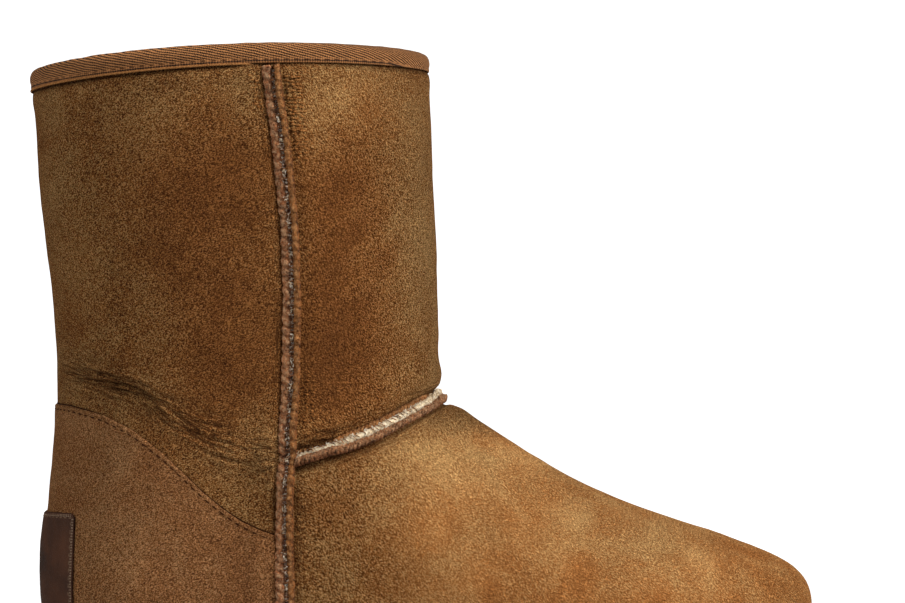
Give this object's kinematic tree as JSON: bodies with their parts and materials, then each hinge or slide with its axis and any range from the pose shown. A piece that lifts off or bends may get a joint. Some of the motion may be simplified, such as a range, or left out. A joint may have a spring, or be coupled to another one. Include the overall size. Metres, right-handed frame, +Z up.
{
  "type": "sheepskin boot",
  "caption": "Right-foot ankle-height pull-on boot of suede-outside sheepskin with fleece lining, raised seams, heel counter, bound collar and moulded sole.",
  "frame": {"origin": "on the floor, under the middle of the boot's bounding box", "axes": "+X to the toe, +Y to the inner side of the foot, +Z up"},
  "size_m": [0.271, 0.1002, 0.2237],
  "materials": {
    "suede": "napped matte",
    "counter_suede": "napped matte",
    "patch_leather": "matte",
    "binding_twill": "woven twill",
    "seam_edge": "overcast, fibrous",
    "sole_foam": "moulded matte",
    "fleece": "dense wool pile"
  },
  "bodies": {
    "root": {"upper": "suede", "heel_counter": "counter_suede", "heel_patch": "patch_leather", "collar_binding": "binding_twill", "side_seam_outer": "seam_edge", "side_seam_inner": "seam_edge", "instep_seam": "seam_edge", "outsole": "sole_foam", "insole": "fleece"}
  },
  "joints": []
}
